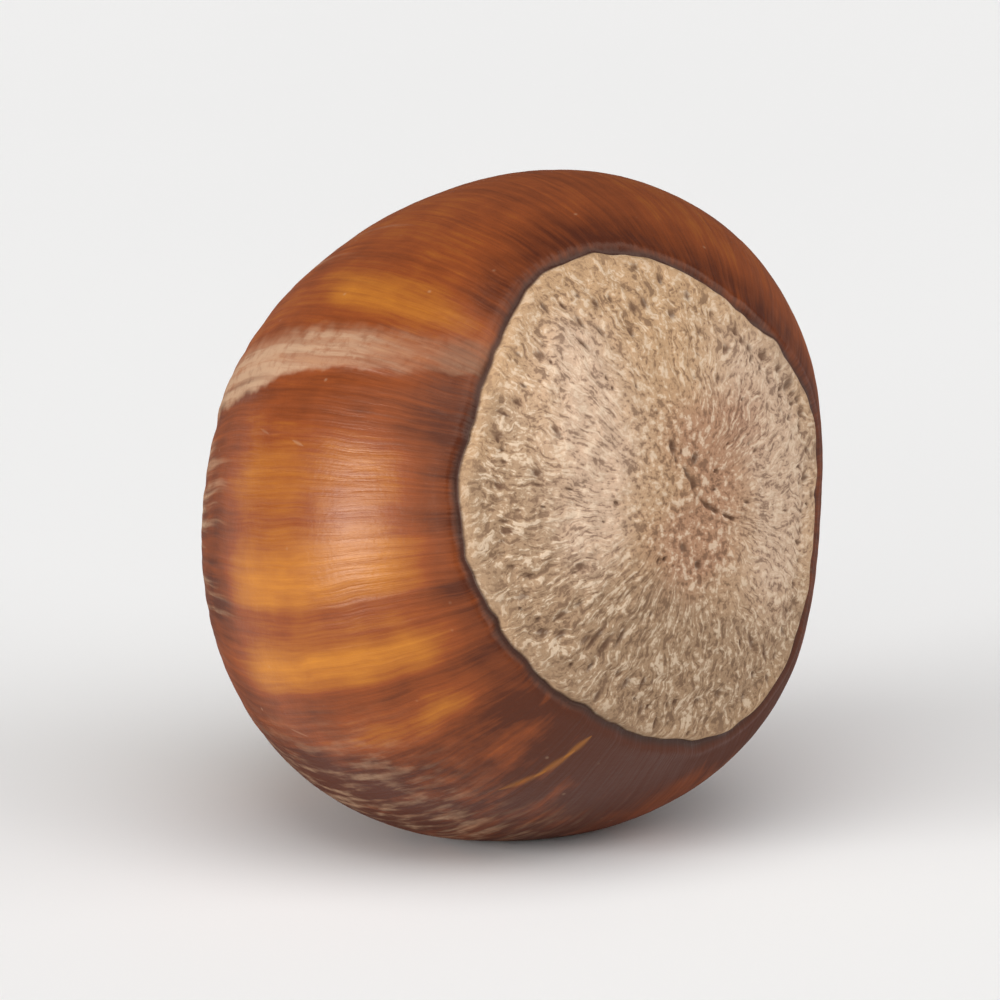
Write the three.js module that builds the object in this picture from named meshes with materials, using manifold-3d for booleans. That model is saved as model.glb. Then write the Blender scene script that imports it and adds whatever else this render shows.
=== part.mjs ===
// A hazelnut in its shell, lying on its side on a small flat spot.
// Millimetres, +Z up. The base scar looks towards -Y and a little up, and the pointed tip is at +Y.
// The whole nut is one grown body. Its surface is given as a distance from the heart of the nut,
// for each direction: a polar angle counted from the middle of the scar (0) to the tip (180 degrees),
// and a turn round the nut's own axis, counted from +X towards the nut's upper side.

import * as THREE from "three";
import { mergeVertices } from "three/addons/utils/BufferGeometryUtils.js";
import Module from "manifold-3d";

const DEG = Math.PI / 180;

// Body: reach from the heart to the scar side, to the tip side, and the mean reach sideways.
const BASE_REACH = 9.35;
const TIP_REACH = 9.5;
const SIDE_REACH = 10;
const SIDE_LOBES = [
  { count: 2, share: 0.055, peak: 57 * DEG },
  { count: 3, share: 0.02, peak: 50 * DEG },
  { count: 4, share: 0.024, peak: 40 * DEG },
];
// Low swellings (positive) and flats (negative) of the body, each a soft hump about one direction.
const SWELLINGS = [
  { polar: 75 * DEG, turn: 320 * DEG, height: 0.2, spread: 28 * DEG },
  { polar: 60 * DEG, turn: 200 * DEG, height: 0.13, spread: 30 * DEG },
  { polar: 125 * DEG, turn: 130 * DEG, height: -0.15, spread: 26 * DEG },
];

// Base scar: a shallow dome inside a wavy outline, with a dimple in its middle and a groove round it.
const SCAR_ANGLE = 46.3 * DEG;
const SCAR_LOBES = [
  { count: 1, share: 0.028, peak: 90 * DEG },
  { count: 2, share: 0.083, peak: 112 * DEG },
  { count: 3, share: 0.018, peak: 74 * DEG },
  { count: 4, share: 0.045, peak: 11 * DEG },
  { count: 5, share: 0.022, peak: 15 * DEG },
];
const SCAR_SINK = 0.5;
const DIMPLE_DEPTH = 0.25;
const DIMPLE_SPREAD = 8 * DEG;
const GROOVE_DEPTH = 0.18;
const GROOVE_SPREAD = 1.8 * DEG;

// Tip: a low broad cone that ends in a small blunt point.
const CONE_HEIGHT = 0.4;
const CONE_SPREAD = 22 * DEG;
const POINT_HEIGHT = 0.45;
const POINT_SPREAD = 6 * DEG;

// How the nut lies, and how much of its underside is flat.
const SCAR_PITCH = 12 * DEG;
const FLAT_DEPTH = 0.32;

// Facets round the nut, and the rings from the scar to the tip.
const AROUND = 64;
const SCAR_RINGS = 10;
const BODY_RINGS = 26;
const RIM_OFFSETS = [-2.6, -1.2, 0, 1.2, 2.6];
const TIP_RINGS = 6;
const TIP_START = 164 * DEG;

function lobes(list, turn) {
  return list.reduce((sum, l) => sum + l.share * Math.cos(l.count * (turn - l.peak)), 1);
}

function hump(distance, spread) {
  return Math.exp(-0.5 * (distance / spread) ** 2);
}

// The unit direction with this polar angle and turn, in the nut's own frame: +Y is the tip.
function direction(polar, turn) {
  const out = Math.sin(polar);
  return new THREE.Vector3(out * Math.cos(turn), -Math.cos(polar), out * Math.sin(turn));
}

// An ellipsoid with a different reach on the scar side and the tip side, and lobed sides.
function bodyReach(polar, turn) {
  const along = polar < Math.PI / 2 ? BASE_REACH : TIP_REACH;
  const side = SIDE_REACH * lobes(SIDE_LOBES, turn);
  const reach = 1 / Math.hypot(Math.cos(polar) / along, Math.sin(polar) / side);
  const towards = direction(polar, turn);
  return SWELLINGS.reduce((sum, s) => {
    const away = towards.angleTo(direction(s.polar, s.turn));
    return sum + s.height * hump(away, s.spread);
  }, reach);
}

function surfaceReach(polar, turn) {
  const rim = SCAR_ANGLE * lobes(SCAR_LOBES, turn);
  let reach = bodyReach(polar, turn);
  if (polar < rim) {
    reach -= SCAR_SINK * (1 - (polar / rim) ** 2);
  }
  reach -= DIMPLE_DEPTH * hump(polar, DIMPLE_SPREAD);
  reach -= GROOVE_DEPTH * hump(polar - rim, GROOVE_SPREAD);
  reach += CONE_HEIGHT * hump(Math.PI - polar, CONE_SPREAD);
  reach += POINT_HEIGHT * hump(Math.PI - polar, POINT_SPREAD);
  return reach;
}

// Rings follow the scar's outline: the ring at SCAR_ANGLE lies on it all the way round.
function followScar(polar, turn) {
  const rim = SCAR_ANGLE * lobes(SCAR_LOBES, turn);
  if (polar < SCAR_ANGLE) {
    return (polar * rim) / SCAR_ANGLE;
  }
  return Math.PI - ((Math.PI - polar) * (Math.PI - rim)) / (Math.PI - SCAR_ANGLE);
}

function spread(from, to, count) {
  return Array.from({ length: count }, (_, i) => from + ((to - from) * i) / count);
}

function ringAngles() {
  const rim = RIM_OFFSETS.map((offset) => SCAR_ANGLE + offset * DEG);
  const gap = 2 * DEG;
  return [
    ...spread(0, rim[0] - gap, SCAR_RINGS),
    ...rim,
    ...spread(rim.at(-1) + gap, TIP_START, BODY_RINGS),
    ...spread(TIP_START, Math.PI, TIP_RINGS),
    Math.PI,
  ];
}

// A turned half circle gives the rings, and each of its points then moves out to the nut's surface.
function nutGeometry() {
  const profile = ringAngles().map((a) => new THREE.Vector2(Math.sin(a), -Math.cos(a)));
  profile[0].x = 0;
  profile.at(-1).x = 0;
  let geometry = new THREE.LatheGeometry(profile, AROUND);
  geometry.deleteAttribute("normal");
  geometry.deleteAttribute("uv");
  geometry = mergeVertices(geometry, 1e-5);
  const position = geometry.getAttribute("position");
  const point = new THREE.Vector3();
  for (let i = 0; i < position.count; i++) {
    point.fromBufferAttribute(position, i).normalize();
    const turn = Math.atan2(point.z, point.x);
    const polar = followScar(Math.acos(THREE.MathUtils.clamp(-point.y, -1, 1)), turn);
    point.copy(direction(polar, turn)).multiplyScalar(surfaceReach(polar, turn));
    position.setXYZ(i, point.x, point.y, point.z);
  }
  return geometry;
}

function solidOf(wasm, geometry) {
  const vertProperties = new Float32Array(geometry.getAttribute("position").array);
  const triVerts = new Uint32Array(geometry.index.array);
  return new wasm.Manifold(new wasm.Mesh({ numProp: 3, vertProperties, triVerts }));
}

function geometryOf(solid) {
  const mesh = solid.getMesh();
  const geometry = new THREE.BufferGeometry();
  geometry.setAttribute("position", new THREE.BufferAttribute(mesh.vertProperties, 3));
  geometry.setIndex(new THREE.BufferAttribute(mesh.triVerts, 1));
  geometry.computeVertexNormals();
  return geometry;
}

// Takes a thin slice off the underside, which leaves the flat spot that the nut rests on.
function cutFlat(wasm, geometry) {
  geometry.computeBoundingBox();
  const side = 4 * SIDE_REACH;
  let slab = new THREE.BoxGeometry(side, side, side);
  slab.translate(0, 0, geometry.boundingBox.min.z + FLAT_DEPTH - side / 2);
  slab.deleteAttribute("normal");
  slab.deleteAttribute("uv");
  slab = mergeVertices(slab);
  return geometryOf(solidOf(wasm, geometry).subtract(solidOf(wasm, slab)));
}

const wasm = await Module();
wasm.setup();

const shape = cutFlat(wasm, nutGeometry().rotateX(-SCAR_PITCH));
shape.computeBoundingBox();
const middle = shape.boundingBox.getCenter(new THREE.Vector3());

const hazelnut = new THREE.Mesh(
  shape,
  new THREE.MeshStandardMaterial({ color: 0x9a5426, roughness: 0.42, metalness: 0 }),
);
hazelnut.name = "hazelnut";
hazelnut.position.set(-middle.x, -middle.y, -shape.boundingBox.min.z);

const part = new THREE.Group();
part.add(hazelnut);

export default part;
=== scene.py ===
"""A hazelnut in its shell, lying on its side: its fine surface, its finishes and the studio round it."""

import math
import random

import bmesh
import bpy
from bpy.props import FloatProperty, FloatVectorProperty, IntProperty, PointerProperty
from mathutils import Matrix, Vector, kdtree, noise
from mathutils.bvhtree import BVHTree


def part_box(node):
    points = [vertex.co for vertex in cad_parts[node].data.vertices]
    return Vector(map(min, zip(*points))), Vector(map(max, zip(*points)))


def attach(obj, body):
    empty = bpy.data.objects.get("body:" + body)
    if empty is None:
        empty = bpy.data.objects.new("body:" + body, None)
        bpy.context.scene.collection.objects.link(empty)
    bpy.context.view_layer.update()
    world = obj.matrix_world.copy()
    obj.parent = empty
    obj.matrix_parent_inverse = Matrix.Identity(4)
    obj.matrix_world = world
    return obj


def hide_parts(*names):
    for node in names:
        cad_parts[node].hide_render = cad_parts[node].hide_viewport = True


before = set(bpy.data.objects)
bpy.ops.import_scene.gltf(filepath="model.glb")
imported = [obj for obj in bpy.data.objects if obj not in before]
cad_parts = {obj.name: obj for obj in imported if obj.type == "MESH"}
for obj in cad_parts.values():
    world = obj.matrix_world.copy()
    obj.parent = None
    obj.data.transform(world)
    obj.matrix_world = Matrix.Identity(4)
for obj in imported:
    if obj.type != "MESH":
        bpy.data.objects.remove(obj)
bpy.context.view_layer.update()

bl_info = {
    "name": "Hazelnut",
    "version": (1, 0, 0),
    "blender": (4, 5, 0),
    "location": "3D View > Sidebar > Hazelnut",
    "description": "Builds a hazelnut in its shell and a plain studio round it",
    "category": "Add Mesh",
}

NODE = "hazelnut"
MM = 0.001
DEG = math.pi / 180

# The body's form, as the CAD node has it: soft lobes round the nut, low swellings, and the scar's outline.
SIDE_LOBES = ((2, 0.055, 57), (3, 0.02, 50), (4, 0.024, 40))
SCAR_LOBES = ((1, 0.028, 90), (2, 0.083, 112), (3, 0.018, 74), (4, 0.045, 11), (5, 0.022, 15))
SWELLINGS = ((75, 320, 0.2, 28), (60, 200, 0.13, 30), (125, 130, -0.15, 26))
CONE_HEIGHT, CONE_SPREAD = 0.4, 22
POINT_HEIGHT, POINT_SPREAD = 0.45, 6
SCAR_PITCH = 12
FLAT_DEPTH = 0.32
FLAT_ROUNDING = 0.05
SPHERE = 10.0

# Rings of faces: how far the fine belt reaches on either side of the scar's edge and where the tip's rings
# start, in degrees, and how many rings the scar, the belt, the shell and the tip have.
EDGE_BELT, TIP_START = 2.4, 164
RING_COUNTS = (88, 26, 138, 40)

# The most that the finished surface may stand off the CAD node, which every few points are tested for.
FIT_LIMIT = 0.45
TEST_EVERY = 7

# Pores in a ring along the scar's edge, how far inside it, and how deep the scar's marks are.
RIM_PORES, RIM_PORE_INSET = 70, 1.15
PORE_DEPTH, CRACK_DEPTH = 0.12, 0.14

# The finishes: depth of the finest relief, which is only shaded, and the share and tint of the gloss.
BUMP_DEPTH = 0.05
SHELL_GLOSS, SCAR_GLOSS = 0.34, 0.2
SHELL_GLOSS_TINT = (1.0, 0.8, 0.66, 1.0)

# The studio's lights: name, azimuth, elevation and width in degrees, and strength.
LIGHTS = (
    ("key_left", -98, 10, 22, 2.2),
    ("soft_left", -75, 25, 80, 1.0),
    ("top_front", -20, 66, 60, 1.5),
    ("fill_right", 35, 25, 50, 1.1),
)

# The studio's white surroundings: how much light they give, and how bright the camera sees them.
SURROUND_LIGHT, SURROUND_SEEN = 0.14, 0.87


# ---------------------------------------------------------------------------------------------------
# Sizes and colours that a user may change


class HazelnutShape(bpy.types.PropertyGroup):
    base_reach: FloatProperty(
        name="Base reach", description="Heart of the nut to the scar side, in mm",
        default=9.35, min=5, max=15)
    tip_reach: FloatProperty(
        name="Tip reach", description="Heart of the nut to the tip side, in mm", default=9.5, min=5, max=15)
    side_reach: FloatProperty(
        name="Side reach", description="Heart of the nut to its sides, in mm", default=10.0, min=5, max=15)
    scar_angle: FloatProperty(
        name="Scar angle", description="Mean angle from the scar's middle to its edge",
        default=46.3 * DEG, min=0.2, max=1.2, subtype="ANGLE", unit="ROTATION")
    scar_sink: FloatProperty(
        name="Scar sink", description="How far the scar is flattened at its middle, in mm",
        default=0.5, min=0, max=2)
    groove: FloatProperty(
        name="Groove", description="Depth of the groove round the scar, in mm", default=0.2, min=0, max=0.5)
    ribs: FloatProperty(
        name="Ribs", description="Height of the ribs that run to the tip, in mm",
        default=0.06, min=0, max=0.3)
    fibres: FloatProperty(
        name="Scar fibres", description="Height of the scar's woody fibres, in mm",
        default=0.06, min=0, max=0.3)
    pores: IntProperty(
        name="Pores", description="Pores scattered over the scar", default=60, min=0, max=600)
    around: IntProperty(name="Around", description="Faces round the nut", default=320, min=32, max=480)
    seed: IntProperty(name="Seed", description="Picks the places of the pores", default=7, min=0, max=999)


class HazelnutColours(bpy.types.PropertyGroup):
    dark: FloatVectorProperty(
        name="Dark shell", description="The darkest streaks of the shell", subtype="COLOR", size=3,
        default=(0.075, 0.016, 0.006), min=0, max=1)
    red: FloatVectorProperty(
        name="Red shell", description="The shell's red-brown ground", subtype="COLOR", size=3,
        default=(0.23, 0.052, 0.012), min=0, max=1)
    gold: FloatVectorProperty(
        name="Gold shell", description="The golden streaks of the shell", subtype="COLOR", size=3,
        default=(0.49, 0.178, 0.02), min=0, max=1)
    down: FloatVectorProperty(
        name="Down", description="The pale down near the tip and along a seam", subtype="COLOR", size=3,
        default=(0.49, 0.32, 0.20), min=0, max=1)
    crown: FloatVectorProperty(
        name="Crown", description="The paler down close round the tip", subtype="COLOR", size=3,
        default=(0.60, 0.46, 0.31), min=0, max=1)
    tuft: FloatVectorProperty(
        name="Tuft", description="The dark remnant at the tip", subtype="COLOR", size=3,
        default=(0.10, 0.065, 0.045), min=0, max=1)
    # The edge line is partly the shell's own dark edge and partly painted shade in the groove round the
    # scar.
    line: FloatVectorProperty(
        name="Edge line", description="The dark line round the scar", subtype="COLOR", size=3,
        default=(0.048, 0.019, 0.014), min=0, max=1)
    scar: FloatVectorProperty(
        name="Scar", description="The woody ground of the scar", subtype="COLOR", size=3,
        default=(0.48, 0.30, 0.165), min=0, max=1)
    scar_pale: FloatVectorProperty(
        name="Pale scar", description="The scar's pale, pinkish bloom", subtype="COLOR", size=3,
        default=(0.57, 0.40, 0.285), min=0, max=1)
    scar_rose: FloatVectorProperty(
        name="Rose scar", description="The rose-brown middle of the scar", subtype="COLOR", size=3,
        default=(0.38, 0.20, 0.12), min=0, max=1)
    # Partly painted shade: the greyer brown that the shade patches lay on the scar's lower side and left
    # edge.
    scar_grey_and_shade: FloatVectorProperty(
        name="Shaded scar", description="The greyer brown side of the scar", subtype="COLOR", size=3,
        default=(0.33, 0.215, 0.13), min=0, max=1)
    scar_light: FloatVectorProperty(
        name="Light fibres", description="The palest fibres of the scar", subtype="COLOR", size=3,
        default=(0.77, 0.61, 0.45), min=0, max=1)
    scar_dark: FloatVectorProperty(
        name="Dark scar", description="Pores and gaps between the scar's fibres", subtype="COLOR", size=3,
        default=(0.12, 0.06, 0.035), min=0, max=1)


class HazelnutStage(bpy.types.PropertyGroup):
    azimuth: FloatProperty(
        name="Azimuth", description="Camera's turn round the nut", default=-36.5 * DEG, subtype="ANGLE",
        unit="ROTATION")
    elevation: FloatProperty(
        name="Elevation", description="Camera's height over the floor", default=15 * DEG, subtype="ANGLE",
        unit="ROTATION")
    distance: FloatProperty(
        name="Distance", description="Camera to the nut's middle", default=0.4, min=0.1, max=2,
        subtype="DISTANCE", unit="LENGTH")
    frame_width: FloatProperty(
        name="Frame width", description="Width of what the camera sees at the nut",
        default=0.0305, min=0.01, max=1, subtype="DISTANCE", unit="LENGTH")
    floor: FloatVectorProperty(
        name="Floor", description="The floor's colour", subtype="COLOR", size=3,
        default=(0.86, 0.855, 0.85), min=0, max=1)


# ---------------------------------------------------------------------------------------------------
# The nut's surface, as a reach from its heart for each direction. Lengths in mm, angles in radians.
# "polar" is counted from the middle of the scar to the tip, "turn" round the nut from +X to its upper side.


def ease(value, low, high):
    share = min(1.0, max(0.0, (value - low) / (high - low)))
    return share * share * (3 - 2 * share)


def hump(distance, spread):
    return math.exp(-0.5 * (distance / spread) ** 2)


def lobes(rows, turn):
    return 1 + sum(share * math.cos(count * (turn - peak * DEG)) for count, share, peak in rows)


def direction(polar, turn):
    out = math.sin(polar)
    return Vector((out * math.cos(turn), -math.cos(polar), out * math.sin(turn)))


def along_grain(polar, turn, around, along, seed):
    """Noise that is stretched from the scar to the tip, without a seam round the nut."""
    return noise.noise(Vector((around * math.cos(turn), around * math.sin(turn), along * polar + seed)))


def plain_outline(shape, turn):
    return shape.scar_angle * lobes(SCAR_LOBES, turn)


def scar_outline(shape, turn):
    """The polar angle of the scar's edge, with the small waver of a torn edge."""
    waver = 0.7 * DEG * along_grain(0, turn, 5, 0, 3.1) + 0.45 * DEG * along_grain(0, turn, 14, 0, 8.4)
    return plain_outline(shape, turn) + waver


def body_reach(shape, polar, turn):
    reach = shape.base_reach if polar < math.pi / 2 else shape.tip_reach
    side = shape.side_reach * lobes(SIDE_LOBES, turn)
    reach = 1 / math.hypot(math.cos(polar) / reach, math.sin(polar) / side)
    towards = direction(polar, turn)
    for at_polar, at_turn, height, spread in SWELLINGS:
        away = towards.angle(direction(at_polar * DEG, at_turn * DEG), 0)
        reach += height * hump(away, spread * DEG)
    edge = plain_outline(shape, turn)
    if polar < edge:
        reach -= shape.scar_sink * (1 - (polar / edge) ** 2)
    reach += CONE_HEIGHT * hump(math.pi - polar, CONE_SPREAD * DEG)
    return reach + POINT_HEIGHT * hump(math.pi - polar, POINT_SPREAD * DEG)


# The downy seam: its upper and lower edge, as a turn for each polar angle, in degrees.
SEAM_TOP = ((45, 127), (49, 128), (62, 133), (76, 135.5), (97, 138), (115, 139), (180, 140))
SEAM_FOOT = ((45, 136), (51, 139), (62, 143), (76, 144.5), (84, 146), (97, 150), (115, 152), (180, 150))


def along_rows(rows, at):
    """Reads a value between the rows of a table."""
    for (start, value), (end, next_value) in zip(rows, rows[1:]):
        if at <= end:
            return value + (next_value - value) * max(0.0, at - start) / (end - start)
    return rows[-1][1]


def seam_share(polar, turn):
    """How far across the seam a point is, from 0 at its upper edge to 1 at its foot."""
    top = along_rows(SEAM_TOP, polar / DEG)
    foot = along_rows(SEAM_FOOT, polar / DEG)
    behind = (turn / DEG - top + 180) % 360 - 180
    return behind / (foot - top)


def shell_relief(shape, polar, turn, outside):
    """The shell's own relief; outside is the distance from the scar's edge."""
    tipward = ease(polar, 95 * DEG, 155 * DEG)
    high = 0.09 * along_grain(polar, turn, 1.6, 0.8, 1.7)
    high += 0.5 * shape.ribs * along_grain(polar, turn, 4.5, 0.7, 5.3)
    valley = 1 - abs(2 * along_grain(polar, turn, 7, 0.6, 2.2))
    high -= shape.ribs * (0.2 + 1.7 * tipward) * max(0.0, valley - 0.5)
    valley = 1 - abs(2 * along_grain(polar, turn, 13, 0.9, 6.4))
    high -= shape.ribs * (0.1 + 1.0 * tipward) * max(0.0, valley - 0.6)
    high += shape.ribs * (0.1 + 0.5 * tipward) * along_grain(polar, turn, 26, 1.2, 9.1)
    seam = seam_share(polar, turn)
    high += 0.05 * hump(seam - 0.6, 0.35) * ease(outside, 0.3, 1.5)
    high -= 0.06 * hump(seam - 1.12, 0.1) * ease(outside, 0.3, 1.5)
    high += 0.035 * hump(outside - 0.42, 0.22)
    tuft = ease(polar, 168 * DEG, 175 * DEG)
    high += 0.32 * tuft * along_grain(polar, turn, 2.4, 7, 4.4)
    return high + 0.14 * tuft * along_grain(polar, turn, 7, 14, 1.9)


def scar_relief(shape, polar, turn, inside, at):
    """The scar's woody relief; inside is the distance from its edge."""
    woody = ease(inside, 0.15, 0.9)
    centre = ease(polar, 4 * DEG, 16 * DEG)
    high = 0.07 * hump(inside - 0.38, 0.22)
    high -= 0.05 * hump(inside - 1.0, 0.25) * (0.6 + along_grain(polar, turn, 6, 0, 6.6))
    high += shape.fibres * woody * centre * along_grain(polar, turn, 18, 15, 7.7)
    high += 0.7 * shape.fibres * woody * noise.noise(at * 2.6)
    high += 0.6 * shape.fibres * woody * noise.noise(at * 5.5)
    high += 0.07 * noise.noise(at * 0.45)
    high += 0.05 * noise.noise(at * 1.3)
    high -= 0.2 * hump(polar, 7 * DEG) * (0.8 + 0.6 * noise.noise(at * 0.9))
    return high


def on_scar(shape, turn, polar):
    """A place on a flat map of the scar, in mm from its middle."""
    far = polar * shape.base_reach
    return Vector((far * math.cos(turn), far * math.sin(turn), 0))


# Marks of the scar: turn and polar angle of their middle in degrees, width and length in mm.
PITS = (
    (123, 41, 0.13, 0.16), (159, 32, 0.11, 0.14), (165, 38.5, 0.1, 0.12), (198, 25.5, 0.12, 0.13),
    (84, 41, 0.11, 0.18), (88, 40.5, 0.11, 0.18), (98, 43.5, 0.1, 0.15), (54, 38, 0.11, 0.13),
    (48, 36.5, 0.1, 0.12), (42, 37.5, 0.12, 0.15), (35, 38.5, 0.1, 0.13), (29, 39, 0.14, 0.2),
    (23, 40, 0.1, 0.12), (19, 40, 0.12, 0.15), (16, 38.5, 0.11, 0.14), (8, 39.5, 0.1, 0.12),
    (0, 39, 0.11, 0.15), (225, 30.5, 0.08, 0.36), (230, 30.5, 0.08, 0.38), (234, 28, 0.07, 0.28),
    (300, 34, 0.08, 0.34), (304, 39, 0.08, 0.32), (262, 8, 0.13, 0.13), (280, 12, 0.11, 0.13),
    (92, 12, 0.11, 0.22), (64, 10, 0.1, 0.18), (76, 38.5, 0.09, 0.16), (92, 36, 0.08, 0.2),
    (106, 41.5, 0.08, 0.2), (110, 37.5, 0.07, 0.24), (102, 38, 0.07, 0.22), (210, 33, 0.07, 0.22),
)
CRACK = ((92, 12), (60, 5.5), (11, 4), (346, 8), (340, 13))

# Soft patches of the scar: turn and polar angle in degrees, radius in mm. The shade patches are painted
# shade over a greyer brown of the scar, darkening its lower side and its left edge.
PALE_PATCHES = (
    (112, 38, 0.8), (124, 29, 1.1), (146, 21, 1.1), (184, 21, 0.9),
    (45, 31, 1.2), (22, 29, 1.3), (355, 29, 1.3), (329, 27.5, 1.3),
)
ROSE_PATCHES = ((70, 15, 0.8), (23, 10, 1.0), (262, 9, 0.9), (300, 9, 0.8), (40, 22, 0.7))
SHADE_PATCHES = (
    (244, 24, 1.2), (270, 30, 1.7), (290, 40, 1.6), (247, 37, 1.6), (215, 38, 1.2),
    (318, 42, 1.1), (165, 37, 0.9), (200, 27, 0.7), (190, 40, 0.8), (145, 40, 0.6),
    (8, 42, 0.7), (35, 41, 0.7), (176, 33, 1.5),
)


def pore_rows(shape):
    """The scar's pits and pores: place on the flat map, unit vector outward, width and length."""
    draw = random.Random(shape.seed)
    rows = [(turn * DEG, polar * DEG, width, length) for turn, polar, width, length in PITS]
    for index in range(RIM_PORES):
        turn = (index + draw.uniform(-0.4, 0.4)) * math.tau / RIM_PORES
        polar = scar_outline(shape, turn) - draw.gauss(RIM_PORE_INSET, 0.3) / shape.base_reach
        rows.append((turn, polar, draw.uniform(0.05, 0.09), draw.uniform(0.07, 0.2)))
    for _ in range(shape.pores):
        turn = draw.uniform(0, math.tau)
        polar = (scar_outline(shape, turn) - 0.06) * math.sqrt(draw.uniform(0.02, 1))
        rows.append((turn, polar, draw.uniform(0.03, 0.06), draw.uniform(0.04, 0.14)))
    return [
        (on_scar(shape, turn, polar), Vector((math.cos(turn), math.sin(turn), 0)), width, length)
        for turn, polar, width, length in rows
    ]


class ScarMarks:
    """Finds how deep in a pore or crack a point of the scar is, and how far inside its soft patches."""

    def __init__(self, shape):
        self.shape = shape
        self.rows = pore_rows(shape)
        self.tree = kdtree.KDTree(len(self.rows))
        for index, row in enumerate(self.rows):
            self.tree.insert(row[0], index)
        self.tree.balance()
        self.crack = [on_scar(shape, turn * DEG, polar * DEG) for turn, polar in CRACK]

    def pore(self, here):
        deepest = 0.0
        for place, index, _ in self.tree.find_range(here, 1.0):
            _, out, width, length = self.rows[index]
            away = here - place
            along = away.dot(out)
            across = (away - out * along).length
            deepest = max(deepest, math.exp(-0.5 * ((along / length) ** 2 + (across / width) ** 2)))
        return deepest

    def cracked(self, here):
        nearest = 9.0
        for start, end in zip(self.crack, self.crack[1:]):
            run = end - start
            share = min(1.0, max(0.0, (here - start).dot(run) / run.length_squared))
            nearest = min(nearest, (here - start - run * share).length)
        ragged = 0.15 + 2.6 * abs(noise.noise(here * 1.4))
        return min(1.0, ragged) * hump(nearest, 0.05 + 0.06 * hump(here.length, 0.8))

    def patches(self, here, rows):
        shaken = here + 0.35 * noise.noise_vector(here * 0.9)
        total = sum(
            hump((shaken - on_scar(self.shape, turn * DEG, polar * DEG)).length, radius)
            for turn, polar, radius in rows)
        return min(1.0, total)


# ---------------------------------------------------------------------------------------------------
# The nut's mesh


def ring_angles(shape):
    """Polar angles of the rings from the scar's middle to the tip, close together at the scar's edge."""
    edge = shape.scar_angle / DEG
    stops = (0, edge - EDGE_BELT, edge + EDGE_BELT, TIP_START, 180)
    stretches = zip(stops, stops[1:], RING_COUNTS)
    angles = [start + (end - start) * i / count for start, end, count in stretches for i in range(count)]
    return [angle * DEG for angle in angles] + [math.pi]


def turned_form(shape):
    """A half circle turned round the nut's axis, closed at both poles."""
    form = bmesh.new()
    row = [form.verts.new((math.sin(a), -math.cos(a), 0)) for a in ring_angles(shape)]
    row[0].co.x = row[-1].co.x = 0
    edges = [form.edges.new(pair) for pair in zip(row, row[1:])]
    bmesh.ops.spin(
        form, geom=row + edges, cent=(0, 0, 0), axis=(0, 1, 0), dvec=(0, 0, 0), angle=math.tau,
        steps=shape.around, use_merge=True, use_normal_flip=False, use_duplicate=False)
    poles = [vert for vert in form.verts if math.hypot(vert.co.x, vert.co.z) < 1e-5]
    bmesh.ops.remove_doubles(form, verts=poles, dist=1e-4)
    bmesh.ops.recalc_face_normals(form, faces=form.faces)
    return form


def follow_scar(shape, polar, edge):
    """Moves a ring's angle so that the ring at the scar's angle lies on its edge all the way round."""
    if polar < shape.scar_angle:
        return polar * edge / shape.scar_angle
    return math.pi - (math.pi - polar) * (math.pi - edge) / (math.pi - shape.scar_angle)


def sculpt(shape, form):
    """Moves each point of the turned form out to the nut's surface.

    Returns a row for each point, of what the finishes read there, and the shift that settled the nut.
    """
    tilt = Matrix.Rotation(-SCAR_PITCH * DEG, 3, "X")
    marks = ScarMarks(shape)
    smooth, rows = [], []
    for vert in form.verts:
        turn = math.atan2(vert.co.z, vert.co.x)
        edge = scar_outline(shape, turn)
        start = math.acos(max(-1.0, min(1.0, -vert.co.y / vert.co.length)))
        polar = follow_scar(shape, start, edge)
        reach = body_reach(shape, polar, turn)
        towards = direction(polar, turn)
        outside = (polar - edge) * reach
        groove = shape.groove * (0.75 + 0.6 * along_grain(0, turn, 7, 0, 1.3))
        relief = -groove * hump(outside - 0.02, 0.13)
        tints_and_shade = (0.0, 0.0, 0.0)
        pore = 0.0
        if outside < 0:
            here = on_scar(shape, turn, polar)
            pore = marks.pore(here)
            crack = marks.cracked(here)
            relief += scar_relief(shape, polar, turn, -outside, towards * reach)
            relief -= PORE_DEPTH * pore + CRACK_DEPTH * crack
            pore = max(pore, 0.95 * crack)
            # The third share marks where painted shade lies on the scar.
            tints_and_shade = [marks.patches(here, kind) for kind in (PALE_PATCHES, ROSE_PATCHES, SHADE_PATCHES)]
        else:
            relief += shell_relief(shape, polar, turn, outside)
            tints_and_shade = (seam_share(polar, turn), 0.0, 0.0)
        smooth.append(tilt @ (towards * reach))
        vert.co = tilt @ (towards * (reach + relief))
        rows.append(((math.cos(turn), math.sin(turn), polar), tints_and_shade, outside, pore))
    return rows, settle(form, smooth)


def settle(form, smooth):
    """Gives the nut its flat spot, puts it where the CAD node is, and returns how far it moved, in mm."""
    level = min(point.z for point in smooth) + FLAT_DEPTH
    kept = [point for point in smooth if point.z >= level]
    low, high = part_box(NODE)
    shift = Vector((
        (low.x + high.x) / 2 / MM - (min(p.x for p in kept) + max(p.x for p in kept)) / 2,
        (low.y + high.y) / 2 / MM - (min(p.y for p in kept) + max(p.y for p in kept)) / 2,
        low.z / MM - level,
    ))
    for vert in form.verts:
        over = vert.co.z - level
        vert.co.z = level + 0.5 * (over + math.hypot(over, FLAT_ROUNDING))
    bmesh.ops.translate(form, verts=form.verts, vec=shift)
    bmesh.ops.scale(form, verts=form.verts, vec=(MM, MM, MM))
    return shift


def tilted(turn, polar):
    """Where a turn and polar angle in degrees lie on a plain sphere round the nut's heart, in mm."""
    return Matrix.Rotation(-SCAR_PITCH * DEG, 3, "X") @ direction(polar * DEG, turn * DEG) * SPHERE


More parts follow.
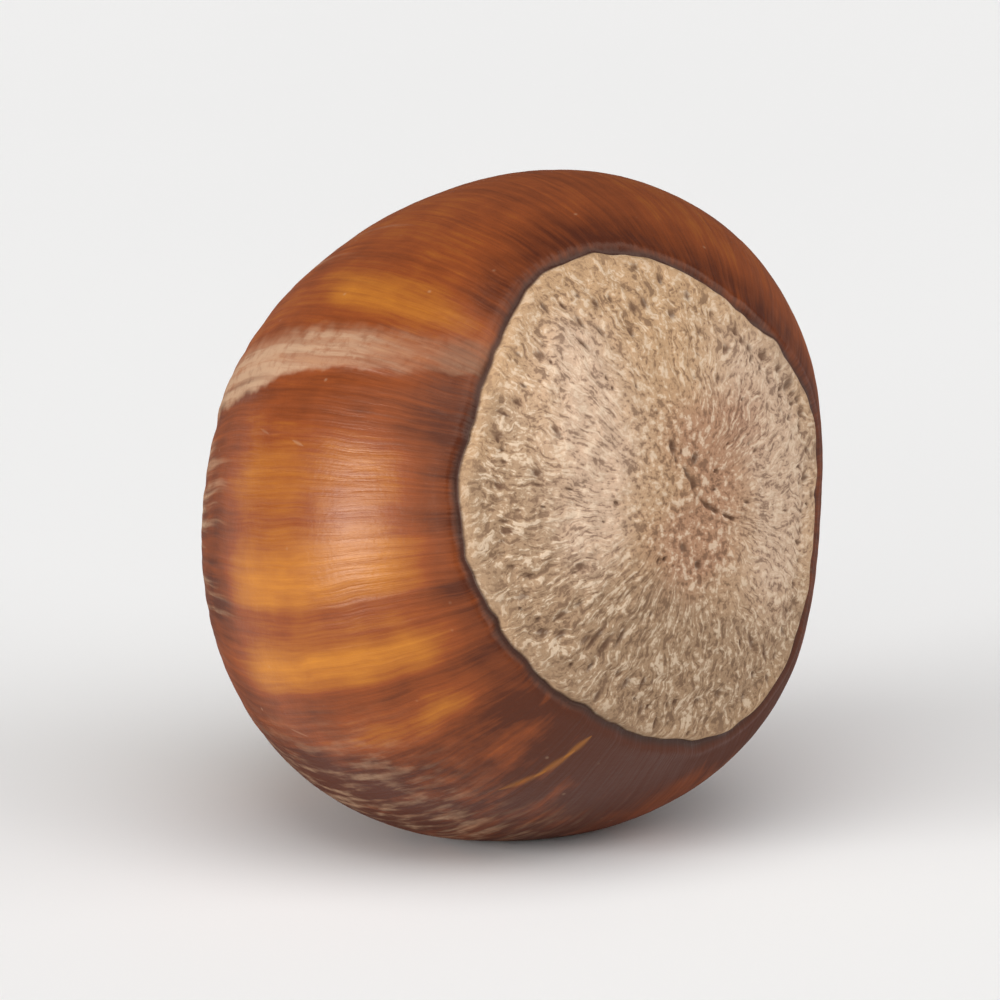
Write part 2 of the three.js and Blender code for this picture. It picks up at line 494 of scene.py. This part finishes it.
def check_fit(mesh):
    """Stops the script if the surface strays from the CAD node."""
    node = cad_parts[NODE].data
    tree = BVHTree.FromPolygons([v.co for v in node.vertices], [p.vertices for p in node.polygons])
    worst = max(tree.find_nearest(vert.co)[3] for vert in list(mesh.vertices)[::TEST_EVERY])
    if worst > FIT_LIMIT * MM:
        raise RuntimeError(f"the nut's surface is {worst / MM:.2f} mm off its CAD node")


def nut_mesh(shape):
    form = turned_form(shape)
    rows, shift = sculpt(shape, form)
    mesh = bpy.data.meshes.new("hazelnut_shell")
    for face in form.faces:
        face.smooth = True
        face.material_index = 1 if all(rows[v.index][2] < 1e-4 for v in face.verts) else 0
    form.to_mesh(mesh)
    form.free()
    for name, column in (("grain", 0), ("tints_and_shade", 1)):
        attribute = mesh.attributes.new(name, "FLOAT_VECTOR", "POINT")
        attribute.data.foreach_set("vector", [x for row in rows for x in row[column]])
    for name, column in (("edge_mm", 2), ("pore", 3)):
        attribute = mesh.attributes.new(name, "FLOAT", "POINT")
        attribute.data.foreach_set("value", [row[column] for row in rows])
    check_fit(mesh)
    return mesh, shift


# ---------------------------------------------------------------------------------------------------
# Node trees


class Graph:
    """Adds nodes to a tree. A source is a socket to link, or a value to set."""

    def __init__(self, tree):
        self.tree = tree

    def feed(self, socket, source):
        if isinstance(source, bpy.types.NodeSocket):
            self.tree.links.new(source, socket)
        elif hasattr(socket.default_value, "__len__") and not isinstance(source, str):
            values = tuple(source)
            socket.default_value = values + (1.0,) * (len(socket.default_value) - len(values))
        else:
            socket.default_value = source

    def add(self, kind, inputs=None, **settings):
        node = self.tree.nodes.new(kind)
        for name, value in settings.items():
            setattr(node, name, value)
        for name, source in (inputs or {}).items():
            self.feed(node.inputs[name], source)
        return node

    def math(self, operation, a, b=0.0, c=0.0, clamp=False):
        inputs = {0: a, 1: b, 2: c}
        return self.add("ShaderNodeMath", inputs, operation=operation, use_clamp=clamp).outputs[0]

    def vector(self, operation, a, b=(0, 0, 0), out="Vector"):
        return self.add("ShaderNodeVectorMath", {0: a, 1: b}, operation=operation).outputs[out]

    def step(self, value, low, high, to_low=0.0, to_high=1.0):
        inputs = {"Value": value, "From Min": low, "From Max": high, "To Min": to_low, "To Max": to_high}
        return self.add("ShaderNodeMapRange", inputs, interpolation_type="SMOOTHSTEP").outputs["Result"]

    def mix(self, share, a, b, blend="MIX"):
        inputs = {0: share, 6: a, 7: b}
        node = self.add("ShaderNodeMix", inputs, data_type="RGBA", blend_type=blend, clamp_factor=True)
        return node.outputs[2]

    def sway(self, value, share, base):
        """The base, moved by a share of how far the value is from its middle of 0.5."""
        return self.math("MULTIPLY_ADD", self.math("SUBTRACT", value, 0.5), share, base)

    def noise(self, vector, scale, detail=2.0, rough=0.5, warp=0.0):
        inputs = {
            "Vector": vector, "Scale": scale, "Detail": detail, "Roughness": rough, "Distortion": warp,
        }
        return self.add("ShaderNodeTexNoise", inputs).outputs["Fac"]

    def attribute(self, name, out="Fac"):
        return self.add("ShaderNodeAttribute", attribute_name=name, attribute_type="GEOMETRY").outputs[out]

    def object_mm(self):
        coords = self.add("ShaderNodeTexCoord").outputs["Object"]
        return self.vector("MULTIPLY", coords, (1 / MM,) * 3)

    def group(self, tree, **inputs):
        node = self.add("ShaderNodeGroup")
        node.node_tree = tree
        for name, source in inputs.items():
            self.feed(node.inputs[name.replace("_", " ").capitalize()], source)
        return node.outputs[0]


def new_group(name, inputs, output):
    """A node group with named inputs, each (name, socket type, default), and one named output."""
    tree = bpy.data.node_groups.new(name, "ShaderNodeTree")
    for label, kind, default in inputs:
        socket = tree.interface.new_socket(label, in_out="INPUT", socket_type=kind)
        if default is not None:
            socket.default_value = default
    tree.interface.new_socket(output, in_out="OUTPUT", socket_type="NodeSocketFloat")
    graph = Graph(tree)
    source = graph.add("NodeGroupInput")
    target = graph.add("NodeGroupOutput")
    return tree, graph, source.outputs, target.inputs[0]


def grain_group():
    """Streaks that run from the scar to the tip: 0 to 1, about 0.5 on average."""
    inputs = (
        ("Grain", "NodeSocketVector", None), ("Around", "NodeSocketFloat", 8.0),
        ("Along", "NodeSocketFloat", 0.5), ("Shift", "NodeSocketFloat", 0.0),
        ("Contrast", "NodeSocketFloat", 2.0),
    )
    tree, graph, given, result = new_group("Grain streaks", inputs, "Streaks")
    parts = graph.add("ShaderNodeSeparateXYZ", {0: given["Grain"]}).outputs
    across = graph.math("MULTIPLY", parts[0], given["Around"])
    upward = graph.math("MULTIPLY", parts[1], given["Around"])
    onward = graph.math("MULTIPLY_ADD", parts[2], given["Along"], given["Shift"])
    # The noise is sheared round the nut, so that its even steps don't show as rings.
    onward = graph.math("MULTIPLY_ADD", across, 0.37, onward)
    onward = graph.math("MULTIPLY_ADD", upward, -0.23, onward)
    scaled = graph.add("ShaderNodeCombineXYZ", {0: across, 1: upward, 2: onward}).outputs[0]
    raw = graph.math("SUBTRACT", graph.noise(scaled, 1.0, 3.0, 0.55), 0.5)
    graph.feed(result, graph.math("MULTIPLY_ADD", raw, given["Contrast"], 0.5, clamp=True))
    return tree


def speck_group():
    """Small round specks, 1 in their middle: cells of the given size in mm, of which a share holds one."""
    inputs = (
        ("Place", "NodeSocketVector", None), ("Size", "NodeSocketFloat", 0.5),
        ("Share", "NodeSocketFloat", 0.3), ("Fill", "NodeSocketFloat", 0.35),
    )
    tree, graph, given, result = new_group("Specks", inputs, "Specks")
    scaled = graph.vector("DIVIDE", given["Place"], graph.add(
        "ShaderNodeCombineXYZ", {0: given["Size"], 1: given["Size"], 2: given["Size"]}).outputs[0])
    cells = graph.add("ShaderNodeTexVoronoi", {"Vector": scaled, "Scale": 1.0, "Randomness": 1.0})
    chance = graph.add("ShaderNodeSeparateColor", {0: cells.outputs["Color"]}).outputs[0]
    chosen = graph.math("LESS_THAN", chance, given["Share"])
    near = graph.add("ShaderNodeMapRange", {
        "Value": cells.outputs["Distance"], "From Min": given["Fill"], "From Max": 0.0,
    }, interpolation_type="SMOOTHSTEP").outputs["Result"]
    graph.feed(result, graph.math("MULTIPLY", chosen, near))
    return tree


def band_group():
    """A band that runs from the scar to the tip, 1 along its middle; its width is an angle."""
    inputs = (
        ("Grain", "NodeSocketVector", None), ("Middle", "NodeSocketVector", None),
        ("Width", "NodeSocketFloat", 5 * DEG), ("Soft", "NodeSocketFloat", 0.5),
    )
    tree, graph, given, result = new_group("Meridian band", inputs, "Band")
    flat = graph.vector("MULTIPLY", given["Grain"], (1, 1, 0))
    apart = graph.vector("SUBTRACT", flat, given["Middle"])
    angle = graph.vector("LENGTH", apart, out="Value")
    inner = graph.math("MULTIPLY", given["Width"], graph.math("SUBTRACT", 1.0, given["Soft"]))
    graph.feed(result, graph.add("ShaderNodeMapRange", {
        "Value": angle, "From Min": given["Width"], "From Max": inner,
    }, interpolation_type="SMOOTHSTEP").outputs["Result"])
    return tree


def scratch_group():
    """A line between two places in mm, 1 along its middle, that fades to its ends."""
    inputs = (
        ("Place", "NodeSocketVector", None), ("Start", "NodeSocketVector", None),
        ("End", "NodeSocketVector", None), ("Width", "NodeSocketFloat", 0.1),
    )
    tree, graph, given, result = new_group("Scratch", inputs, "Scratch")
    run = graph.vector("SUBTRACT", given["End"], given["Start"])
    here = graph.vector("SUBTRACT", given["Place"], given["Start"])
    along = graph.vector("DOT_PRODUCT", here, run, "Value")
    share = graph.math("DIVIDE", along, graph.vector("DOT_PRODUCT", run, run, "Value"), clamp=True)
    foot = graph.add("ShaderNodeVectorMath", {0: run, "Scale": share}, operation="SCALE").outputs["Vector"]
    away = graph.vector("LENGTH", graph.vector("SUBTRACT", here, foot), out="Value")
    taper = graph.math("SINE", graph.math("MULTIPLY_ADD", share, math.pi * 0.9, 0.16))
    reach = graph.math("MULTIPLY", given["Width"], taper)
    graph.feed(result, graph.add("ShaderNodeMapRange", {
        "Value": away, "From Min": reach, "From Max": 0.0,
    }, interpolation_type="SMOOTHSTEP").outputs["Result"])
    return tree


def new_material(name):
    material = bpy.data.materials.new(name)
    material.use_nodes = True
    tree = material.node_tree
    tree.nodes.clear()
    graph = Graph(tree)
    shader = graph.add("ShaderNodeBsdfPrincipled")
    output = graph.add("ShaderNodeOutputMaterial")
    tree.links.new(shader.outputs[0], output.inputs[0])
    return material, graph, shader


def on_circle(turn):
    return (math.cos(turn * DEG), math.sin(turn * DEG), 0.0)


# Placed streaks of the shell, and bands of painted shade: turn, half width, how far each moves the shell's
# tone, and the polar angles where it fades in and out. Angles in degrees. The thin dark row at 150 is partly
# a painted shadow under the downy seam; the wide dark rows at 84, 182, 224, 240, 262 and 300 paint shade on
# the top, the far left side and the underside, over the shell's own darker red-brown.
STREAKS_AND_SHADE = (
    (128, 8, 0.27, 40, 88), (150, 6, -0.1, 40, 120), (165, 9, 0.2, 52, 100), (184, 13, 0.33, 52, 98),
    (190.5, 3, -0.16, 40, 112), (200, 7, 0.38, 52, 98), (207.5, 3.4, -0.12, 40, 112), (215, 5, 0.16, 50, 84),
    (84, 24, -0.06, 40, 120), (224, 9, -0.22, 40, 120), (240, 16, -0.3, 40, 130), (262, 22, -0.34, 40, 130),
    (300, 34, -0.3, 40, 130), (182, 48, -0.26, 98, 140), (224, 20, -0.32, 78, 120), (20, 16, 0.2, 60, 130),
    (338, 10, 0.16, 55, 120),
)

# Thin marks of the shell: turn and polar angle of both ends in degrees, width in mm, and strength.
GOLD_SCRATCH = ((244, 46, 242, 52, 0.2, 0.5), (243, 50, 240, 58, 0.22, 0.45), (241, 56, 237, 64, 0.2, 0.35))
PALE_MARKS = (
    (157, 91, 158, 88, 0.07, 0.2), (159, 81, 160, 78, 0.09, 0.26), (211, 92, 212.5, 88, 0.06, 0.24),
)


def wandering(graph, grain, place, scale, detail, amount):
    """The grain's coordinates, bent a little so that no streak is quite straight."""
    bend = graph.add("ShaderNodeTexNoise", {"Vector": place, "Scale": scale, "Detail": detail})
    bend = graph.vector("SUBTRACT", bend.outputs["Color"], (0.5, 0.5, 0.5))
    return graph.vector("ADD", grain, graph.vector("MULTIPLY", bend, amount))


def shell_tone(graph, place, grain, polar, edge, groups):
    """How golden the shell is, from 0 for the darkest streaks to 1 for the palest, with painted shade from
    the wide dark bands over the nut's top, far left side and underside.
    """
    broad = graph.group(groups["grain"], Grain=grain, Around=2.6, Along=0.6, Shift=1.0, Contrast=1.4)
    middle = graph.group(groups["grain"], Grain=grain, Around=9.0, Along=1.6, Shift=4.0, Contrast=1.5)
    fine = graph.group(groups["grain"], Grain=grain, Around=38.0, Along=1.8, Shift=7.0, Contrast=1.8)
    hairs = graph.group(groups["grain"], Grain=grain, Around=95.0, Along=5.0, Shift=9.0, Contrast=2.0)
    tone = graph.sway(broad, 0.18, 0.4)
    tone = graph.sway(middle, 0.1, tone)
    tone = graph.sway(fine, 0.2, tone)
    tone = graph.sway(hairs, 0.14, tone)
    # The clouds' noise is turned, so that its even steps don't line up with the nut.
    askew = {"Vector": place, "Axis": (1.0, 0.8, 0.4), "Angle": 50 * DEG}
    askew = graph.add("ShaderNodeVectorRotate", askew).outputs[0]
    tone = graph.sway(graph.noise(askew, 0.9, 3.0, 0.5), 0.3, tone)
    patchy = graph.group(groups["grain"], Grain=grain, Around=6.0, Along=4.0, Shift=15.0, Contrast=1.2)
    patchy = graph.math("ADD", patchy, 0.5)
    # Each row adds a streak, or a band of painted shade on the top, the far left side or the underside.
    for turn, width, change, start, end in STREAKS_AND_SHADE:
        band = graph.group(groups["band"], Grain=grain, Middle=on_circle(turn), Width=width * DEG, Soft=1.0)
        band = graph.math("MULTIPLY", band, graph.step(polar, (start - 8) * DEG, (start + 8) * DEG))
        band = graph.math("MULTIPLY", band, graph.step(polar, (end + 8) * DEG, (end - 8) * DEG))
        tone = graph.math("MULTIPLY_ADD", graph.math("MULTIPLY", band, patchy), change, tone)
    dull = graph.group(groups["band"], Grain=grain, Middle=on_circle(240), Width=36 * DEG, Soft=0.7)
    mottle = graph.group(groups["grain"], Grain=grain, Around=14.0, Along=8.0, Shift=19.0, Contrast=2.4)
    dull = graph.math("MULTIPLY", dull, graph.math("SUBTRACT", mottle, 0.62))
    tone = graph.math("MULTIPLY_ADD", dull, 0.34, tone)
    near_edge = graph.math("MULTIPLY", graph.step(edge, 2.8, 0.5), patchy)
    return graph.math("MULTIPLY_ADD", near_edge, -0.24, tone, clamp=True)


def shell_material(colours, groups, heart):
    material, graph, shader = new_material("nut_shell")
    place = graph.object_mm()
    on_sphere = graph.vector("NORMALIZE", graph.vector("SUBTRACT", place, heart))
    on_sphere = graph.vector("MULTIPLY", on_sphere, (SPHERE,) * 3)
    edge = graph.attribute("edge_mm")
    raw = graph.attribute("grain", "Vector")
    grain = wandering(graph, raw, place, 0.3, 2.0, (0.05, 0.05, 0.0))
    polar = graph.add("ShaderNodeSeparateXYZ", {0: raw}).outputs[2]

    tone = shell_tone(graph, place, grain, polar, edge, groups)
    ramp = graph.add("ShaderNodeValToRGB", {"Fac": tone})
    stops = ramp.color_ramp.elements
    stops[0].position, stops[0].color = 0.05, (*colours.dark, 1)
    stops[1].position, stops[1].color = 0.95, (*colours.gold, 1)
    middle = stops.new(0.4)
    middle.color = (*colours.red, 1)
    colour = ramp.outputs["Color"]

    fine = graph.group(groups["grain"], Grain=grain, Around=46.0, Along=1.6, Shift=2.0, Contrast=2.6)
    blotch = graph.noise(place, 0.8, 3.0)
    down = down_mask(graph, grain, polar, place, groups)
    crown = graph.step(polar, 128 * DEG, 162 * DEG)
    hue = graph.mix(crown, (*colours.down, 1), (*colours.crown, 1))
    gaps = graph.group(groups["grain"], Grain=grain, Around=30.0, Along=2.4, Shift=21.0, Contrast=2.4)
    hue = graph.mix(graph.step(gaps, 0.45, 0.1, 0, 0.4), hue, (*colours.red, 1))
    colour = graph.mix(graph.math("MULTIPLY", down, 0.85), colour, hue)
    frayed = graph.sway(graph.noise(place, 2.2, 3.0), 0.25, polar)
    colour = graph.mix(graph.step(frayed, 170 * DEG, 176 * DEG, 0, 0.8), colour, (*colours.tuft, 1))

    # Pale specks in the down's colour: partly small pale marks of the shell, partly painted glints.
    specks = graph.group(groups["specks"], Place=place, Size=0.6, Share=0.12, Fill=0.15)
    colour = graph.mix(graph.math("MULTIPLY", specks, 0.32), colour, (*colours.down, 1))
    for row in PALE_MARKS:
        colour = mark(graph, colour, colours.down, row, on_sphere, groups)
    for row in GOLD_SCRATCH:
        colour = mark(graph, colour, colours.gold, row, on_sphere, groups)
    # Dark line over the groove round the scar: partly the shell's dark edge, partly painted shade in the
    # groove.
    line = graph.step(edge, 0.22, 0.05)
    colour = graph.mix(graph.math("MULTIPLY", line, 0.9), colour, (*colours.line, 1))

    rough = graph.math("MULTIPLY_ADD", fine, 0.1, 0.25)
    rough = graph.math("MULTIPLY_ADD", blotch, 0.08, rough)
    rough = graph.math("MULTIPLY_ADD", down, 0.4, rough)
    slant = graph.add("ShaderNodeLayerWeight", {"Blend": 0.5}).outputs["Facing"]
    rough = graph.math("ADD", rough, graph.step(slant, 0.45, 0.85, 0, 0.5), clamp=True)
    height = graph.math("MULTIPLY", graph.noise(place, 6.0, 3.0), 0.35)
    height = graph.math("MULTIPLY_ADD", fine, 0.5, height)
    height = graph.math("MULTIPLY_ADD", down, 0.5, height)
    bump = graph.add("ShaderNodeBump", {"Height": height, "Strength": 0.4, "Distance": BUMP_DEPTH * MM})
    graph.feed(shader.inputs["Base Color"], colour)
    graph.feed(shader.inputs["Roughness"], rough)
    graph.feed(shader.inputs["Normal"], bump.outputs[0])
    shader.inputs["Specular IOR Level"].default_value = SHELL_GLOSS
    shader.inputs["Specular Tint"].default_value = SHELL_GLOSS_TINT
    return material


def mark(graph, colour, tint, row, on_sphere, groups):
    """Draws one thin mark over a colour, by where each point is seen from the nut's heart."""
    turn, polar, end_turn, end_polar, width, strength = row
    ends = [tilted(turn, polar), tilted(end_turn, end_polar)]
    line = graph.group(groups["scratch"], Place=on_sphere, Start=ends[0], End=ends[1], Width=width)
    return graph.mix(graph.math("MULTIPLY", line, strength), colour, (*tint, 1))


def down_mask(graph, grain, polar, place, groups):
    """Where pale down lies: over the tip, along the seam, and in smears on the nut's lower left."""
    broad = graph.group(groups["grain"], Grain=grain, Around=5.0, Along=0.8, Shift=11.0, Contrast=2.4)
    streaks = graph.group(groups["grain"], Grain=grain, Around=28.0, Along=1.6, Shift=13.0, Contrast=3.0)
    flecks = graph.noise(place, 3.2, 4.0, 0.65)
    reach = graph.sway(broad, 0.7, polar)
    reach = graph.sway(streaks, 0.6, reach)
    tip = graph.step(reach, 115 * DEG, 156 * DEG)
    tip = graph.math("MULTIPLY", tip, graph.step(graph.noise(place, 6.0, 3.0, 0.6), 0.3, 0.6, 0.7, 1.0))
    share = graph.add("ShaderNodeSeparateXYZ", {0: graph.attribute("tints_and_shade", "Vector")}).outputs[0]
    share = graph.sway(graph.noise(place, 1.6, 2.0), 0.35, share)
    seam = graph.math("MULTIPLY", graph.step(share, -0.1, 0.4), graph.step(share, 1.06, 0.9))
    seam = graph.math("MULTIPLY", seam, graph.step(polar, 56 * DEG, 80 * DEG, 0.3, 0.95))
    seam = graph.math("MULTIPLY", seam, graph.step(streaks, 0.2, 0.8, 0.6, 1.0))
    seam = graph.math("MULTIPLY", seam, graph.step(flecks, 0.3, 0.55, 0.65, 1.0))
    patch = graph.group(groups["band"], Grain=grain, Middle=on_circle(238), Width=34 * DEG, Soft=0.8)
    patch = graph.math("MULTIPLY", patch, graph.step(polar, 58 * DEG, 84 * DEG))
    smears = graph.group(groups["grain"], Grain=grain, Around=32.0, Along=9.0, Shift=17.0, Contrast=2.4)
    smears = graph.math("MULTIPLY", graph.step(smears, 0.35, 0.95), graph.step(flecks, 0.2, 0.8, 0.4, 1.0))
    both = graph.math("MAXIMUM", seam, graph.math("MULTIPLY", graph.math("MULTIPLY", patch, smears), 0.8))
    return graph.math("MAXIMUM", tip, both)


def scar_material(colours, groups):
    material, graph, shader = new_material("nut_scar")
    place = graph.object_mm()
    edge = graph.attribute("edge_mm")
    pore = graph.attribute("pore")
    raw = graph.attribute("grain", "Vector")
    tints_and_shade = graph.add("ShaderNodeSeparateXYZ", {0: graph.attribute("tints_and_shade", "Vector")}).outputs
    grain = wandering(graph, raw, place, 0.8, 3.0, (0.26, 0.26, 0.1))
    inside = graph.math("MULTIPLY", edge, -1.0)

    # Painted shade over the scar's greyer brown, where the shade patches lie.
    shade = graph.math("MULTIPLY", tints_and_shade[2], 0.85)
    colour = graph.mix(shade, (*colours.scar, 1), (*colours.scar_grey_and_shade, 1))
    colour = graph.mix(graph.math("MULTIPLY", tints_and_shade[0], 0.85), colour, (*colours.scar_pale, 1))
    colour = graph.mix(graph.math("MULTIPLY", tints_and_shade[1], 0.75), colour, (*colours.scar_rose, 1))

    fibres = graph.group(groups["grain"], Grain=grain, Around=30.0, Along=10.0, Shift=3.0, Contrast=3.0)
    hairs = graph.group(groups["grain"], Grain=grain, Around=64.0, Along=22.0, Shift=5.0, Contrast=3.0)
    grit = graph.noise(place, 3.2, 3.0, 0.62)
    sand = graph.noise(place, 7.5, 2.0, 0.6)
    centre = graph.step(inside, 5.4, 3.8)
    swirl = graph.math("MULTIPLY_ADD", graph.noise(place, 4.2, 4.0, 0.65), 2.6, -0.8, clamp=True)
    fibres = graph.math("MULTIPLY_ADD", graph.math("SUBTRACT", fibres, swirl), centre, swirl)
    hairs = graph.math("MULTIPLY_ADD", graph.math("SUBTRACT", hairs, swirl), centre, swirl)
    woody = graph.step(inside, 0.05, 0.9, 0.5, 1.0)
    rise = graph.sway(grit, 1.4, 0.5)
    rise = graph.sway(sand, 1.0, rise)
    rise = graph.sway(fibres, 0.8, rise)
    rise = graph.sway(hairs, 0.4, rise)
    gaps = graph.math("MULTIPLY", graph.step(rise, 0.46, 0.06), woody)
    colour = graph.mix(graph.math("MULTIPLY", gaps, 0.62), colour, (*colours.scar_dark, 1))
    light = graph.math("MULTIPLY", graph.step(rise, 0.54, 0.95), woody)
    colour = graph.mix(graph.math("MULTIPLY", light, 0.6), colour, (*colours.scar_light, 1))
    colour = graph.mix(graph.step(pore, 0.2, 0.9, 0, 0.85), colour, (*colours.scar_dark, 1))
    # Dark line over the groove at the scar's edge: partly the shell's dark edge, partly painted shade in the
    # groove.
    colour = graph.mix(graph.step(inside, 0.14, 0.0, 0, 0.9), colour, (*colours.line, 1))

    rough = graph.math("MULTIPLY_ADD", grit, 0.15, 0.8)
    bump = graph.add("ShaderNodeBump", {"Height": rise, "Strength": 0.55, "Distance": BUMP_DEPTH * MM})
    graph.feed(shader.inputs["Base Color"], colour)
    graph.feed(shader.inputs["Roughness"], rough)
    graph.feed(shader.inputs["Normal"], bump.outputs[0])
    shader.inputs["Specular IOR Level"].default_value = SCAR_GLOSS
    return material


# ---------------------------------------------------------------------------------------------------
# Operators


def link(thing):
    bpy.context.scene.collection.objects.link(thing)
    return thing


class HAZELNUT_OT_build_nut(bpy.types.Operator):
    """Builds the nut's fine surface over its CAD node"""

    bl_idname = "hazelnut.build_nut"
    bl_label = "Build nut"

    def execute(self, context):
        shape = context.scene.hazelnut_shape
        colours = context.scene.hazelnut_colours
        groups = {
            "grain": grain_group(), "specks": speck_group(),
            "band": band_group(), "scratch": scratch_group(),
        }
        mesh, heart = nut_mesh(shape)
        mesh.materials.append(shell_material(colours, groups, heart))
        mesh.materials.append(scar_material(colours, groups))
        nut = link(bpy.data.objects.new("hazelnut_in_shell", mesh))
        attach(nut, "root")
        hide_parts(NODE)
        return {"FINISHED"}


def soft_sun(name, azimuth, elevation, angle, strength):
    """A studio light that is so large and so far off that it lights the whole floor alike."""
    lamp = bpy.data.lights.new(name, "SUN")
    lamp.angle = angle * DEG
    lamp.energy = strength
    light = link(bpy.data.objects.new(name, lamp))
    aim(light, Vector((0, 0, 0)), azimuth * DEG, elevation * DEG, 1.0)


def aim(thing, target, azimuth, elevation, distance):
    """Puts a camera or light at this azimuth and elevation, looking at the target."""
    level = math.cos(elevation)
    towards = Vector((math.sin(azimuth) * level, -math.cos(azimuth) * level, math.sin(elevation)))
    thing.location = target + towards * distance
    thing.rotation_euler = towards.to_track_quat("Z", "Y").to_euler()


class HAZELNUT_OT_build_stage(bpy.types.Operator):
    """Builds the floor, the lights and the camera"""

    bl_idname = "hazelnut.build_stage"
    bl_label = "Build stage"

    def execute(self, context):
        stage = context.scene.hazelnut_stage
        low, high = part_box(NODE)
        middle = (low + high) / 2
        self.floor(stage, low.z)
        self.lights(context)
        camera = bpy.data.cameras.new("camera")
        camera.sensor_width = 36
        camera.lens = camera.sensor_width * stage.distance / stage.frame_width
        camera.clip_start = 0.01
        eye = link(bpy.data.objects.new("camera", camera))
        aim(eye, middle, stage.azimuth, stage.elevation, stage.distance)
        context.scene.camera = eye
        context.scene.view_settings.view_transform = "Standard"
        return {"FINISHED"}

    def floor(self, stage, height):
        form = bmesh.new()
        bmesh.ops.create_grid(form, x_segments=1, y_segments=1, size=3.0)
        bmesh.ops.translate(form, verts=form.verts, vec=(0, 0, height))
        mesh = bpy.data.meshes.new("floor")
        form.to_mesh(mesh)
        form.free()
        material, graph, shader = new_material("pale_floor")
        soft = graph.noise(graph.object_mm(), 0.02, 3.0)
        paler = [min(1.0, 1.04 * channel) for channel in stage.floor]
        graph.feed(shader.inputs["Base Color"], graph.mix(soft, (*stage.floor, 1), (*paler, 1)))
        shader.inputs["Roughness"].default_value = 0.9
        shader.inputs["Specular IOR Level"].default_value = 0.0
        mesh.materials.append(material)
        link(bpy.data.objects.new("floor", mesh))

    def lights(self, context):
        for row in LIGHTS:
            soft_sun(*row)
        world = bpy.data.worlds.new("studio")
        world.use_nodes = True
        graph = Graph(world.node_tree)
        background = world.node_tree.nodes["Background"]
        background.inputs["Color"].default_value = (1, 1, 1, 1)
        seen = graph.add("ShaderNodeLightPath").outputs["Is Camera Ray"]
        graph.feed(background.inputs["Strength"], graph.step(seen, 0.0, 1.0, SURROUND_LIGHT, SURROUND_SEEN))
        context.scene.world = world


class VIEW3D_PT_hazelnut(bpy.types.Panel):
    """Lists the operators and their values"""

    bl_label = "Hazelnut"
    bl_space_type = "VIEW_3D"
    bl_region_type = "UI"
    bl_category = "Hazelnut"

    def draw(self, context):
        layout = self.layout
        layout.operator(HAZELNUT_OT_build_nut.bl_idname)
        layout.operator(HAZELNUT_OT_build_stage.bl_idname)
        scene = context.scene
        for group in (scene.hazelnut_shape, scene.hazelnut_colours, scene.hazelnut_stage):
            box = layout.box()
            for name in group.__annotations__:
                box.prop(group, name)


CLASSES = (
    HazelnutShape, HazelnutColours, HazelnutStage, HAZELNUT_OT_build_nut, HAZELNUT_OT_build_stage,
    VIEW3D_PT_hazelnut,
)


def register():
    for kind in CLASSES:
        bpy.utils.register_class(kind)
    bpy.types.Scene.hazelnut_shape = PointerProperty(type=HazelnutShape)
    bpy.types.Scene.hazelnut_colours = PointerProperty(type=HazelnutColours)
    bpy.types.Scene.hazelnut_stage = PointerProperty(type=HazelnutStage)


def unregister():
    for name in ("hazelnut_shape", "hazelnut_colours", "hazelnut_stage"):
        delattr(bpy.types.Scene, name)
    for kind in reversed(CLASSES):
        bpy.utils.unregister_class(kind)


def main():
    register()
    bpy.ops.hazelnut.build_nut()
    bpy.ops.hazelnut.build_stage()


if __name__ == "__main__":
    main()
